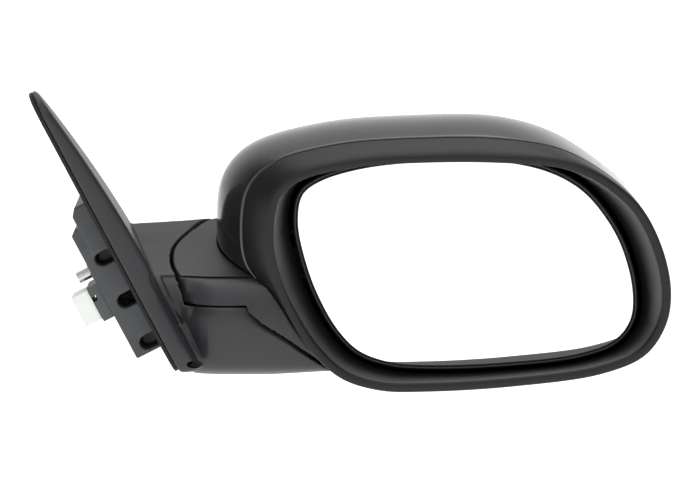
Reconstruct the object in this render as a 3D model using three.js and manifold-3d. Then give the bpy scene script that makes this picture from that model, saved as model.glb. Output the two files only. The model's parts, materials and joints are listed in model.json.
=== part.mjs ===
// A passenger-side car door mirror: a sail-mounted arm, a head that folds on a vertical post,
// and a powered glass that tilts and pans on a ball post.
// Millimetres. +X points away from the door, +Y towards the front of the car, +Z up.
// The origin lies on the rear side of the gasket, where it seats on the door.
import * as THREE from "three";
import { mergeVertices } from "three/addons/utils/BufferGeometryUtils.js";
import Module from "manifold-3d";

const wasm = await Module();
wasm.setup();

// ---------------------------------------------------------------- driving dimensions
const RAD = Math.PI / 180;
const GAP = 0.3; // between pieces that touch
const WALL = 2.5; // moulded covers

// The door's seat leans in at the top by LEAN. Seat coordinates: w outboard, v forward, z up the seat.
const LEAN = 27.3 * RAD;
const SAIL_TOP = 97; // height of the sail's apex up the seat
const SAIL_THIN = 5; // at the top
const SAIL_THICK = 14; // at the bottom
const SAIL_TAPER = 0.08; // thinner towards the front, per mm
const COVER_W = 2; // the sail cover and bracket plate start behind the gasket

// The fold post, and the frame of everything that is laid out around it.
const POST = { x: 56, y: 34, z: -6 };
const NECK_R = 28.5; // round inner end of the neck
const FOLD_GAP = 1.6;

// The head, in the post's frame but with x measured from the seat.
const CREST_Y = -30; // rearmost edge of the bezel
const SEAM_Y = -18; // painted cap meets bezel
const BODY_Y = 10; // widest section of the head
const DOME_Y = 55; // front of the painted cap
const GLASS_Y = -6; // front face of the glass
const GLASS_T = 2;
// Door-side hardware, as v and z on the seat.
const STUD = { v: 20, z: -1 };
const PLUG = { v: 21, z: -16.4 };
const INSERTS = [[52, 12], [52, -38]];
// Where the sail is thin the boss and its screw are shorter: w where the boss starts, w where the bore ends.
const COVER_SCREWS = [
  { v: 24, z: 48, low: 6, end: 7.8 },
  { v: 88, z: -40, low: 8.9, end: 10.6 },
];
const POCKET_Z = [3.8, -21, -45.5];
const FACE_W = -15.5; // the bracket's inner face, which meets the door's reinforcement

// Harness runs, as points in the part's own frame.
const HARNESS_R = 2.4;
const BASE_HARNESS = [
  [-6.5, 21, -22], [0, 21.5, -20.5], [9, 22, -22], [17, 22, -27.5], [24, 22.5, -37], [33, 25, -49],
  [43, 29.5, -55.8], [50, 32.6, -58], [55, 34, -57], [56, 34, -52.5], [56, 34, -44],
];
const HEAD_HARNESS = [
  [56, 34, -43.6], [56, 34, -26], [56.3, 34.2, -15], [60.5, 37.5, -9], [75, 46, 1], [93, 52, 8],
  [108, 55, 4], [118, 56, -4], [124, 56, -6], [128.4, 56, -6],
];

// The powered glass drive: the ball the glass swings on, and its two screws.
const BALL = { x: 178, y: 6, z: 0 };
const TILT_ARM = 26; // tilt screw above the ball
const PAN_ARM = 30; // pan screw outboard of the ball
const GEAR_R = 8.5;
const WORM_R = 3;
const GEAR_Y = 24;
const OUTLINE_STEPS = 32;
const ARM_STEPS = 16;
const ROUND = 26; // sides of the large round forms

// Head outlines, 21 matching points each, clockwise from the inboard side as seen from the rear: x, z.
const CREST = [
  [76.4, 20], [80.5, 41], [92, 51], [119.6, 58.4], [160, 61.2], [197.6, 61], [228.8, 58.4],
  [249.6, 50.2], [268, 35], [279.5, 14], [284.8, -10], [282.5, -28], [272, -44], [250, -53.8],
  [205, -60.2], [160, -63], [135, -62.5], [115, -56.5], [100, -43], [88, -24], [79, 0],
];
const BODY = [
  [50, 22], [53.5, 45], [67, 60], [105, 71.5], [155, 75.5], [195, 75], [222, 68],
  [243, 56], [264, 38], [278, 15], [285, -10], [282, -28], [271, -43], [248, -53],
  [203, -62], [158, -65], [131, -63], [111, -50.5], [96, -33], [80, -13], [53, 3],
];
const GLASS = [
  [92, 22], [94.5, 36.5], [103, 43.5], [125, 50.5], [160, 54.3], [195, 54.5], [222, 49],
  [240, 39], [253, 24], [261.5, 8], [267, -14], [266, -29.5], [258, -40.5], [240, -47.8],
  [200, -52.8], [160, -54.2], [140, -52.5], [124, -46.5], [113, -35.5], [103, -18], [96, 1],
];
const DOME_CENTRE = [170, 6];
const CARRIER_RIM = 2; // carrier beyond the glass
const APERTURE_RIM = 4.2; // bezel opening beyond the glass
const APERTURE_WALL = 1.4;

// A shift of this share in both r and z moves a wall that slopes at 45 degrees by the full distance.
const SLANT = 0.7;

// The surface the head turns on: radius from the post and height. Above it the neck, below it the arm.
const TURN = [
  [NECK_R, -18], [30.5, -23.5], [33, -28.5], [38, -35], [44, -42.5], [52, -51], [60, -59.5], [70, -70],
];

// Arm and neck share one outer form: sections across x, as y, z points.
const ARM_SECTION = [
  [28, 18.5], [33, 13], [36, -4], [35, -27], [28, -48], [12, -56.5], [-6, -57.5], [-17, -52],
  [-22, -36], [-21.5, -18], [-16, -5.5], [-8, -0.5], [4, 6.2], [14, 10.6], [22, 14.6],
];
const POD_SECTION = [
  [28, 19], [34, 13], [37, -4], [36, -27], [28, -48], [12, -57], [-8, -58], [-21, -52],
  [-27.5, -38], [-28, -21], [-23, -8], [-12, -1.5], [3, 6.2], [14, 11], [22, 15.4],
];
const TAIL_SECTION = [
  [20, 12], [25, 8], [28, -4], [27, -25], [21, -46], [8, -55], [-6, -56.5], [-15, -53],
  [-19, -42], [-20, -26], [-17, -12], [-9, -5], [2, 1], [10, 5], [15, 9],
];

// ---------------------------------------------------------------- solids
function toSolid(geometry, weld = 1e-4) {
  const bare = geometry.clone();
  bare.deleteAttribute("normal");
  bare.deleteAttribute("uv");
  const merged = mergeVertices(bare, weld);
  return new wasm.Manifold(
    new wasm.Mesh({
      numProp: 3,
      vertProperties: merged.attributes.position.array,
      triVerts: new Uint32Array(merged.index.array),
    }),
  );
}

function toGeometry(solid) {
  const mesh = solid.getMesh();
  const geometry = new THREE.BufferGeometry();
  geometry.setAttribute("position", new THREE.BufferAttribute(mesh.vertProperties, 3));
  geometry.setIndex(new THREE.BufferAttribute(mesh.triVerts, 1));
  return geometry;
}

function join(...shapes) {
  return toGeometry(shapes.map((shape) => toSolid(shape)).reduce((a, b) => a.add(b)));
}

function cut(shape, ...tools) {
  return toGeometry(tools.reduce((body, tool) => body.subtract(toSolid(tool)), toSolid(shape)));
}

function common(a, b) {
  return toGeometry(toSolid(a).intersect(toSolid(b)));
}

// Drops the slivers that a cut leaves beside the main piece.
function mainPiece(shape) {
  const pieces = toSolid(shape, 1e-3).decompose();
  return toGeometry(pieces.reduce((a, b) => (a.volume() > b.volume() ? a : b)));
}

function place(shape, [x, y, z], [rx, ry, rz] = [0, 0, 0]) {
  const turn = new THREE.Matrix4().makeRotationFromEuler(new THREE.Euler(rx, ry, rz));
  return shape.applyMatrix4(turn).translate(x, y, z);
}

function box(sx, sy, sz, centre) {
  return new THREE.BoxGeometry(sx, sy, sz).translate(...centre);
}

// A round bar along z, from z = low to z = high.
function bar(radius, low, high, sides = 24) {
  const upright = new THREE.CylinderGeometry(radius, radius, high - low, sides);
  return place(upright, [0, 0, (low + high) / 2], [Math.PI / 2, 0, 0]);
}

// A profile of [radius, z] points turned about z. It starts and ends on the axis, or closes on itself.
function turned(profile, sides = 48) {
  const points = profile.map(([r, z]) => new THREE.Vector2(r, z));
  return outward(new THREE.LatheGeometry(points, sides).rotateX(Math.PI / 2));
}

// A ring about z, cut from a closed rectangular profile.
function ring(inner, outer, low, high, sides = 24) {
  return turned([[inner, low], [outer, low], [outer, high], [inner, high], [inner, low]], sides);
}

// Turns a closed shape's faces round if they point inwards.
function outward(shape) {
  const flat = shape.index ? shape.toNonIndexed() : shape;
  const p = flat.attributes.position;
  const [a, b, c] = [new THREE.Vector3(), new THREE.Vector3(), new THREE.Vector3()];
  let volume = 0;
  for (let i = 0; i < p.count; i += 3) {
    a.fromBufferAttribute(p, i);
    b.fromBufferAttribute(p, i + 1);
    c.fromBufferAttribute(p, i + 2);
    volume += a.dot(b.cross(c));
  }
  if (volume > 0) return shape;
  const order = shape.index ? Array.from(shape.index.array) : Array.from({ length: p.count }, (_, i) => i);
  for (let i = 0; i < order.length; i += 3) {
    [order[i + 1], order[i + 2]] = [order[i + 2], order[i + 1]];
  }
  shape.setIndex(order);
  return shape;
}

function fromTriangles(vertices, faces) {
  const geometry = new THREE.BufferGeometry();
  geometry.setAttribute("position", new THREE.Float32BufferAttribute(vertices.flat(), 3));
  geometry.setIndex(faces.flat());
  return outward(geometry);
}

function band(faces, from, to, count) {
  for (let i = 0; i < count; i += 1) {
    const j = (i + 1) % count;
    faces.push([from + i, from + j, to + i], [from + j, to + j, to + i]);
  }
}

// A body through rings of equally many points, closed by a fan at each end.
function loft(rings) {
  const count = rings[0].length;
  const vertices = rings.flat();
  const faces = [];
  for (let k = 0; k + 1 < rings.length; k += 1) band(faces, k * count, (k + 1) * count, count);
  for (const [k, turn] of [[0, false], [rings.length - 1, true]]) {
    const middle = [0, 1, 2].map((axis) => rings[k].reduce((sum, p) => sum + p[axis], 0) / count);
    const tip = vertices.push(middle) - 1;
    for (let i = 0; i < count; i += 1) {
      const [a, b] = [k * count + i, k * count + ((i + 1) % count)];
      faces.push(turn ? [a, b, tip] : [b, a, tip]);
    }
  }
  return fromTriangles(vertices, faces);
}

// A closed frame: rings of equally many points, the last joined back to the first.
function frameLoop(rings) {
  const count = rings[0].length;
  const faces = [];
  rings.forEach((_, k) => band(faces, k * count, ((k + 1) % rings.length) * count, count));
  return fromTriangles(rings.flat(), faces);
}

// An outline of [x, y] points as a plate of the given depth along z.
function plate(points, depth) {
  const shape = new THREE.Shape(points.map(([x, y]) => new THREE.Vector2(x, y)));
  return outward(new THREE.ExtrudeGeometry(shape, { depth, bevelEnabled: false }));
}

// A round wire along a smooth curve through points.
function wire(points, radius, steps, sides = 8) {
  const curve = new THREE.CatmullRomCurve3(points.map((p) => new THREE.Vector3(...p)));
  const corners = Array.from({ length: sides }, (_, k) => {
    const angle = (k / sides) * 2 * Math.PI;
    return new THREE.Vector2(radius * Math.cos(angle), radius * Math.sin(angle));
  });
  return outward(new THREE.ExtrudeGeometry(new THREE.Shape(corners), { extrudePath: curve, steps }));
}

// ---------------------------------------------------------------- outlines
function smoothLoop(points, steps) {
  const corners = points.map(([a, b]) => new THREE.Vector3(a, b, 0));
  const curve = new THREE.CatmullRomCurve3(corners, true, "centripetal");
  return Array.from({ length: steps }, (_, i) => {
    const p = curve.getPoint(i / steps);
    return [p.x, p.y];
  });
}

// Moves a clockwise or anticlockwise loop outwards by a distance.
function grow(loop, distance) {
  const area = loop.reduce((sum, [x, y], i) => {
    const [nx, ny] = loop[(i + 1) % loop.length];
    return sum + x * ny - nx * y;
  }, 0);
  const side = Math.sign(area) * distance;
  return loop.map(([x, y], i) => {
    const [px, py] = loop[(i + loop.length - 1) % loop.length];
    const [nx, ny] = loop[(i + 1) % loop.length];
    const length = Math.hypot(nx - px, ny - py);
    return [x + (side * (ny - py)) / length, y - (side * (nx - px)) / length];
  });
}

// Blends two lists of matching points, of two or three coordinates each.
const mix = (a, b, t) => a.map((p, i) => p.map((value, k) => value + (b[i][k] - value) * t));
const atY = (loop, y) => loop.map(([x, z]) => [x, y, z]);

const crestLoop = smoothLoop(CREST, OUTLINE_STEPS);
const bodyLoop = smoothLoop(BODY, OUTLINE_STEPS);
const glassLoop = smoothLoop(GLASS, OUTLINE_STEPS);

// The head's outer outline at depth y. The dome closes as a superellipse; inset moves it inwards.
function headLoop(y, inset = 0) {
  const reach = Math.min(Math.max((y - CREST_Y) / (BODY_Y - CREST_Y), 0), 1);
  const loop = mix(crestLoop, bodyLoop, 1 - (1 - reach) ** 2);
  const front = Math.max(0, (y - BODY_Y) / (DOME_Y - inset - BODY_Y));
  const scale = Math.max(0.02, (1 - Math.min(front, 1) ** 2.3) ** (1 / 2.3));
  const [cx, cz] = DOME_CENTRE;
  return grow(loop, -inset).map(([x, z]) => [cx + (x - cx) * scale, cz + (z - cz) * scale]);
}

function headSolid(inset, rear, steps) {
  const rings = [];
  for (let k = 0; k <= steps; k += 1) {
    const swing = Math.sin((k / steps) * (Math.PI / 2));
    const y = rear + (DOME_Y - inset - rear) * swing;
    rings.push(atY(headLoop(y, inset), y));
  }
  return loft(rings);
}

// ---------------------------------------------------------------- the group that is handed on
const mirror = new THREE.Group();
const pivotFrame = new THREE.Group(); // x from the seat, y and z from the fold post
pivotFrame.position.set(0, POST.y, POST.z);
const seatFrame = new THREE.Group(); // x = w outboard, y = v forward, z up the seat
seatFrame.rotation.y = -LEAN;
mirror.add(pivotFrame, seatFrame);

const FINISH = {
  gloss_black: { color: 0x2b2c2e, roughness: 0.22, metalness: 0 },
  textured_black: { color: 0x333437, roughness: 0.62, metalness: 0 },
  bracket_grey: { color: 0x3c3e40, roughness: 0.55, metalness: 0 },
  rubber: { color: 0x16171a, roughness: 0.85, metalness: 0 },
  steel: { color: 0xb4b6b8, roughness: 0.3, metalness: 1 },
  brass: { color: 0xb08d3c, roughness: 0.35, metalness: 1 },
  mirror_glass: { color: 0xf2f5f8, roughness: 0.03, metalness: 1 },
  inner_black: { color: 0x1d1e20, roughness: 0.6, metalness: 0 },
  white_nylon: { color: 0xd6d7d0, roughness: 0.5, metalness: 0 },
  grey_nylon: { color: 0x50565a, roughness: 0.5, metalness: 0 },
  cable_black: { color: 0x18191b, roughness: 0.7, metalness: 0 },
};

function add(parent, name, shape, finish) {
  const bare = shape.index ? shape.toNonIndexed() : shape;
  bare.computeVertexNormals();
  const mesh = new THREE.Mesh(bare, new THREE.MeshStandardMaterial({ ...FINISH[finish], flatShading: true }));
  mesh.name = name;
  parent.add(mesh);
  return mesh;
}

// ---------------------------------------------------------------- arm, neck and the surface between them
// The common outer form of arm and neck from x = low to x = high, moved in by inset.
function armForm(low, high, inset = 0) {
  const stations = [
    [-40, ARM_SECTION], [30, ARM_SECTION], [52, POD_SECTION], [74, POD_SECTION], [116, TAIL_SECTION],
  ];
  const rings = [];
  const places = [30, 41, 52, 74, 88, 102].filter((x) => x > low && x < high);
  for (const x of [low, ...places, high]) {
    const k = Math.max(0, stations.findIndex(([sx]) => sx >= x) - 1);
    const [[x0, s0], [x1, s1]] = [stations[k], stations[k + 1]];
    const t = (x - x0) / (x1 - x0);
    const loop = grow(smoothLoop(mix(s0, s1, t * t * (3 - 2 * t)), ARM_STEPS), -inset);
    rings.push(loop.map(([y, z]) => [x, y, z]));
  }
  return loft(rings);
}

// The space above the turning surface, about the post. Raise moves it up and out, for gaps and walls.
function turnedSpace(raise) {
  const shift = raise * SLANT;
  const wall = TURN.map(([r, z]) => [r + shift, z + shift]);
  const [reach, top] = [95, 90];
  const rim = [reach, wall.at(-1)[1]];
  const profile = [[0, top], [reach, top], rim, ...wall.reverse(), [0, TURN[0][1] + shift], [0, top]];
  return turned(profile, ROUND).translate(POST.x, 0, 0);
}

// A wedge of space about the post between two directions, in degrees from +X.
function sector(from, to, low = -95, high = 95, reach = 120) {
  const points = [[0, 0]];
  for (let k = 0; k <= 6; k += 1) {
    const angle = (from + ((to - from) * k) / 6) * RAD;
    points.push([reach * Math.cos(angle), reach * Math.sin(angle)]);
  }
  return plate(points, high - low).translate(POST.x, 0, low);
}

// Where the neck may be: inside its round end anywhere, outside it only between these two directions.
const NECK_FROM = -69;
const NECK_TO = 62;
const ARM_FROM = -130; // the arm stays outside this wider sector, so the head can turn
const ARM_TO = 108;
const FAR_FROM = -112; // far from the post the neck is narrow and turns less far back
const FAR_R = 38;
const NOTCH_TOP = 20.5; // just above the arm

function neckForm(inset) {
  const end = bar(NECK_R - inset, TURN[0][1], 60, ROUND).translate(POST.x, 0, 0);
  const throat = sector(NECK_FROM + inset * 2, NECK_TO - inset * 2);
  return common(common(armForm(26, 112, inset), turnedSpace(inset)), join(end, throat));
}

// The space the neck turns in, moved out by clear.
function neckSweep(clear) {
  const end = bar(NECK_R + clear, TURN[0][1] - clear * SLANT, 60, ROUND).translate(POST.x, 0, 0);
  const turn = 1.5 * (clear - FOLD_GAP); // degrees
  const near = sector(ARM_FROM - turn, ARM_TO + turn, -95, 95, FAR_R + clear);
  const far = sector(FAR_FROM - turn, ARM_TO + turn);
  return common(turnedSpace(-clear), join(end, near, far));
}

// ---------------------------------------------------------------- head: bezel, cap and neck
// A ring across y, grown outwards by a distance.
function outwards(loop, distance) {
  return atY(grow(loop.map(([x, , z]) => [x, z]), distance), loop[0][1]);
}

function addHeadShell() {
  const aperture = (y, rim) => atY(grow(glassLoop, rim), y);
  const lip = atY(headLoop(CREST_Y + 1, 4.2), CREST_Y + 1);
  const throat = aperture(GLASS_Y + 5, APERTURE_RIM);
  const innerLip = outwards(mix(lip, throat, 0.14), 1.8); // behind the funnel, an even wall away
  const throatBack = aperture(GLASS_Y + 5, APERTURE_RIM + APERTURE_WALL);
  const rings = [
    [SEAM_Y - GAP, 0], [-23, 0], [-27, 0], [-29.4, 0.7], [CREST_Y, 2], [CREST_Y, 3.2],
  ].map(([y, inset]) => atY(headLoop(y, inset), y));
  rings.push(lip, mix(lip, throat, 0.4), mix(lip, throat, 0.75), throat, throatBack);
  rings.push(mix(throatBack, innerLip, 0.55), innerLip, atY(headLoop(SEAM_Y - GAP, WALL), SEAM_Y - GAP));
  add(pivotFrame, "housing_bezel", frameLoop(rings), "textured_black");

  const shell = cut(headSolid(0, SEAM_Y, 7), headSolid(WALL, SEAM_Y - 3, 6));
  const mouth = aperture(GLASS_Y + 5 + GAP, APERTURE_RIM + APERTURE_WALL + GAP);
  const funnel = loft([outwards(innerLip, GAP), outwards(throatBack, GAP), mouth]);
  const cap = cut(join(shell, notchLiner()), funnel, neckForm(WALL + GAP), notch());
  add(pivotFrame, "painted_cap", mainPiece(cap), "gloss_black");

  const skin = cut(neckForm(0), neckForm(WALL), headSolid(-6 * GAP, CREST_Y - 1, 14));
  const shaftHole = bar(16, -40, -14, 32).translate(POST.x, 0, 0);
  add(pivotFrame, "neck_housing", mainPiece(cut(skin, shaftHole)), "textured_black");
}

// The corner of the head that would strike the arm when the head folds forward is notched out and lined.
function notch() {
  const swept = sector(NECK_TO, 178, -60, NOTCH_TOP, 70);
  return cut(swept, bar(NECK_R, -70, 30, ROUND).translate(POST.x, 0, 0));
}

function notchLiner() {
  const ceiling = sector(NECK_TO - 6, 150, NOTCH_TOP - 0.5, NOTCH_TOP + WALL, 66);
  const wedge = sector(NECK_TO - 4, NECK_TO + 1, -30, NOTCH_TOP + WALL, 66);
  const side = cut(wedge, bar(26, -40, 30).translate(POST.x, 0, 0));
  return common(headSolid(0.2, SEAM_Y + 20, 8), join(ceiling, side));
}

// ---------------------------------------------------------------- door side: sail and arm cover
const SAIL = [
  [-3, 70], [-3, 30], [-3, -20], [-3, -55], [0, -64], [10, -66.5], [50, -66], [95, -63.5], [112, -60],
  [115, -52], [108, -38], [82, 7], [52, 54], [26, 88.5], [12, 97], [2, 95], [-2.5, 86.5],
];
const sailLoop = smoothLoop(SAIL, 30);

// Thickness of the sail at v forward and height z up the seat. Above the arm it thins forwards.
function sailThickness(v, z) {
  const down = Math.min(1, Math.max(0, (SAIL_TOP - z) / 100));
  const above = Math.min(1, Math.max(0, (z + 40) / 20));
  const rear = SAIL_THIN + (SAIL_THICK - SAIL_THIN) * (1 - (1 - down) ** 1.7);
  return rear - SAIL_TAPER * Math.max(0, v) * above;
}

// The sail's lower edge is level, so away from the seat it drops to meet the arm's underside.
function sailDrop(w, z) {
  const low = Math.min(1, Math.max(0, (-25 - z) / 40));
  return w * Math.tan(LEAN) * low * low * (3 - 2 * low);
}

function sailForm(inset, low, thinner) {
  const layers = [[0, 0], [0.3, 0.7], [2.6, 1]];
  const rings = layers.map(([shrink, share]) =>
    grow(sailLoop, -inset - shrink).map(([v, z]) => {
      const w = share ? Math.max(low + share, share * (sailThickness(v, z) - thinner)) : low;
      return [w, v, z - sailDrop(w, z)];
    }),
  );
  return loft(rings).rotateY(-LEAN);
}

const outboardOf = (w) => box(200, 400, 400, [w + 100, 0, 0]).rotateY(-LEAN);
const toWorld = (shape) => shape.translate(0, POST.y, POST.z);
const fromSeat = (shape) => shape.rotateY(-LEAN);
const fromPost = (shape) => toWorld(shape.translate(POST.x, 0, 0));

// A round bar along the seat's outboard direction, at v and z on the seat.
function seatBar(radius, low, high, v, z, sides = 20) {
  return place(bar(radius, low, high, sides), [0, v, z], [0, Math.PI / 2, 0]);
}

function addBaseCover() {
  const arm = common(toWorld(armForm(-28, 116)), outboardOf(5));
  const hollow = common(toWorld(armForm(-27.4, 107, WALL + 0.05)), outboardOf(5 + WALL));
  const outside = cut(join(arm, sailForm(0, COVER_W, 0)), toWorld(neckSweep(FOLD_GAP)));
  const sailHollow = sailForm(WALL + 0.1, COVER_W - 1.5, WALL);
  const inside = mainPiece(cut(join(hollow, sailHollow), toWorld(neckSweep(FOLD_GAP + WALL))));
  const floorHole = fromPost(bar(16, -40, 0, 32));
  const shell = mainPiece(cut(outside, inside, floorHole));
  const bosses = COVER_SCREWS.map(({ v, z, low }) => common(fromSeat(seatBar(4.4, low, 20, v, z)), outside));
  const bores = COVER_SCREWS.map(({ v, z, end }) => fromSeat(seatBar(2, 5, end, v, z)));
  add(mirror, "base_cover", cut(join(shell, ...bosses), ...bores), "textured_black");
}

// ---------------------------------------------------------------- door side: bracket, gasket, connector
// A block on the bracket: an outline in w and z, between two depths v.
function block(outline, low, high) {
  return fromSeat(place(plate(outline, high - low), [0, high, 0], [Math.PI / 2, 0, 0]));
}

function addBracket() {
  const plateForm = sailForm(WALL + 1.6, COVER_W, WALL + 6 * GAP);
  const slab = fromSeat(box(6.5, 140, 122, [COVER_W + 3.25, 55, 0]));
  const blocks = [
    block([[-10, 30], [-7, 34], [3, 34], [3, 6], [-10, 6]], 6, 56),
    block([[FACE_W, 21], [-12.5, 23.5], [3, 23.5], [3, -51], [FACE_W, -51]], 9, 62),
  ];
  const beam = box(46, 20, 11, [37, POST.y + 3, -37.5 + 5]);
  const boss = fromPost(bar(21, -32, -21.5, 32));
  const nose = fromPost(bar(15, -22, -19.5, 32));
  const web = common(join(beam, boss), common(toWorld(armForm(-26, 100, WALL + 2 * GAP)), outboardOf(8)));
  const cup = toWorld(neckSweep(FOLD_GAP + WALL + GAP));
  const body = join(cut(join(common(plateForm, slab), ...blocks, web), cup), nose);
  const tools = [
    fromPost(bar(8.4, -40, 0, 32)),
    wire(BASE_HARNESS, HARNESS_R + 1.2, 24, 6),
    fromSeat(seatBar(3.3, -20, -10, STUD.v, STUD.z)),
    ...INSERTS.map(([v, z]) => fromSeat(seatBar(4.8, -20, -5, v, z))),
    ...POCKET_Z.map((z) => fromSeat(pocket(z))),
    ...COVER_SCREWS.map(({ v, z }) => fromSeat(seatBar(4.8, -2, 4.6, v, z))),
    ...COVER_SCREWS.map(({ v, z }) => fromSeat(seatBar(2.1, -2, 10, v, z))),
  ];
  add(mirror, "mount_bracket", mainPiece(cut(body, ...tools)), "bracket_grey");
}

// A pocket in the bracket's rear wall: straight sides, round inboard end.
function pocket(z) {
  const end = bar(3.75, 0, 22, 16).translate(-6.8, z, 0);
  const slot = box(6, 7.5, 22, [-3.8, z, 11]);
  return place(join(end, slot), [0, 22, 0], [Math.PI / 2, 0, 0]);
}

function addDoorSide() {
  const section = [[0.8, 0], [7, 0], [7, 1.7], [0.8, 1.7]]; // inset from the sail's outline, w
  const gasket = frameLoop(section.map(([inset, w]) => grow(sailLoop, -inset).map(([v, z]) => [w, v, z])));
  add(seatFrame, "door_gasket", gasket, "rubber");
  const thread = bar(3, -24, -12, 16);
  const collar = bar(5.4, -16.8, -15.8, 6);
  const stud = place(join(thread, collar), [0, STUD.v, STUD.z], [0, Math.PI / 2, 0]);
  add(seatFrame, "mount_stud", stud, "steel");
  INSERTS.forEach(([v, z], i) => {
    const insert = place(ring(2.5, 4.5, FACE_W + GAP, -5.4, 20), [0, v, z], [0, Math.PI / 2, 0]);
    add(seatFrame, ["thread_insert_upper", "thread_insert_lower"][i], insert, "brass");
  });
  COVER_SCREWS.forEach(({ v, z, end }, i) => {
    const screw = join(bar(4.2, 2.2, 4.2, 20), bar(1.7, 4, end - 0.4, 12));
    add(seatFrame, `cover_screw_${i + 1}`, place(screw, [0, v, z], [0, Math.PI / 2, 0]), "steel");
  });
}

function addConnector() {
  const { v, z } = PLUG;
  const clipNotch = box(3, 30, 3, [-20.6, v, z + 3]);
  const clip = cut(box(5.9, 19, 19.5, [-18.75, v, z]), clipNotch, seatBar(4, -30, -10, v, z));
  add(seatFrame, "connector_clip", clip, "grey_nylon");
  const socket = box(8.2, 12.5, 13.5, [-28.1, v, z]);
  const key = box(7, 3, 16.4, [-31, v - 3, z]);
  add(seatFrame, "connector_body", cut(box(9.4, 15.5, 16.6, [-26.8, v, z]), socket, key), "white_nylon");
  const pinAt = [-4.5, -1.5, 1.5, 4.5].flatMap((dz) => [-3, 3].map((dv) => [-27, v + dv, z + dz]));
  const pins = pinAt.map((centre) => box(5, 0.8, 0.8, centre));
  add(seatFrame, "connector_terminals", join(box(0.6, 9, 11, [-24.5, v, z]), ...pins), "brass");
}

// ---------------------------------------------------------------- glass and carrier
function addGlass() {
  const glass = loft([
    atY(grow(glassLoop, -0.8), GLASS_Y), atY(glassLoop, GLASS_Y + 0.6), atY(glassLoop, GLASS_Y + GLASS_T),
  ]);
  add(pivotFrame, "mirror_glass", glass, "mirror_glass");
  const rimTop = GLASS_Y + 0.9;
  const floor = GLASS_Y + GLASS_T + 1.4;
  const rim = frameLoop([
    atY(grow(glassLoop, GAP), floor), atY(grow(glassLoop, GAP), rimTop),
    atY(grow(glassLoop, 1.4), rimTop - 0.4), atY(grow(glassLoop, CARRIER_RIM), rimTop + 0.8),
    atY(grow(glassLoop, CARRIER_RIM), floor),
  ]);
  const back = loft([
    atY(grow(glassLoop, CARRIER_RIM), floor - 0.01), atY(grow(glassLoop, CARRIER_RIM), floor + 1.6),
    atY(grow(glassLoop, 0), floor + 2.2),
  ]);
  add(pivotFrame, "glass_carrier", join(rim, back), "inner_black");
  const padLoop = grow(glassLoop, -3);
  const pad = loft([atY(padLoop, GLASS_Y + GLASS_T + GAP), atY(padLoop, floor - GAP)]);
  add(pivotFrame, "adhesive_pad", pad, "rubber");
}

// ---------------------------------------------------------------- fold joint
function addFoldJoint() {
  const detents = [0, 1, 2].map((k) => {
    const angle = (k * 120 + 30) * RAD;
    return box(4, 4, 1.4, [11.5 * Math.cos(angle), 11.5 * Math.sin(angle), -16.9]);
  });
  const atPost = (shape) => shape.translate(POST.x, 0, 0);
  add(pivotFrame, "detent_plate", atPost(join(ring(8.7, 14.5, -19.2, -17.2), ...detents)), "steel");
  add(pivotFrame, "slide_ring", atPost(ring(17, 24, -18.85, -18.3, 28)), "inner_black");
  const tube = turned([
    [5.4, -47], [8, -47], [8, -9.2], [12, -9.2], [12, -7], [5.4, -7], [5.4, -47],
  ], 24);
  add(pivotFrame, "pivot_post", atPost(tube), "steel");
  const turns = 2.25;
  const coil = Array.from({ length: 28 }, (_, i) => {
    const angle = (i / 27) * turns * 2 * Math.PI;
    return [12.4 * Math.cos(angle), 12.4 * Math.sin(angle), -40.4 + (i / 27) * 6.7];
  });
  add(pivotFrame, "fold_spring", atPost(wire(coil, 1.3, 34, 5)), "steel");
  add(pivotFrame, "spring_washer", atPost(ring(8.4, 16, -43.3, -42)), "steel");
  add(pivotFrame, "push_nut", atPost(ring(8.4, 12.5, -45.7, -43.6, 18)), "steel");
}

function addHarness() {
  add(mirror, "base_harness", wire(BASE_HARNESS, HARNESS_R, 30, 6), "cable_black");
  add(mirror, "head_harness", wire(HEAD_HARNESS, HARNESS_R, 30, 6), "cable_black");
}

// ---------------------------------------------------------------- head structure and glass drive
const DRIVE_SCREWS = [[145, -28], [219, -28], [145, 34]];

// A bar along y at x and z.
function yBar(radius, low, high, x, z, sides = 24) {
  return place(bar(radius, -high, -low, sides), [x, 0, z], [Math.PI / 2, 0, 0]);
}

// A round-cornered plate in x and z, between two depths y.
function yPlate(x0, x1, z0, z1, corner, low, high) {
  const points = [];
  for (const [cx, cz, start] of [[x1, z1, 0], [x0, z1, 90], [x0, z0, 180], [x1, z0, 270]]) {
    for (let k = 0; k <= 3; k += 1) {
      const angle = (start + k * 30) * RAD;
      const [ix, iz] = [Math.sign(cx - (x0 + x1) / 2), Math.sign(cz - (z0 + z1) / 2)];
      points.push([cx - ix * corner + corner * Math.cos(angle), cz - iz * corner + corner * Math.sin(angle)]);
    }
  }
  return place(plate(points, high - low), [0, high, 0], [Math.PI / 2, 0, 0]);
}

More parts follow.
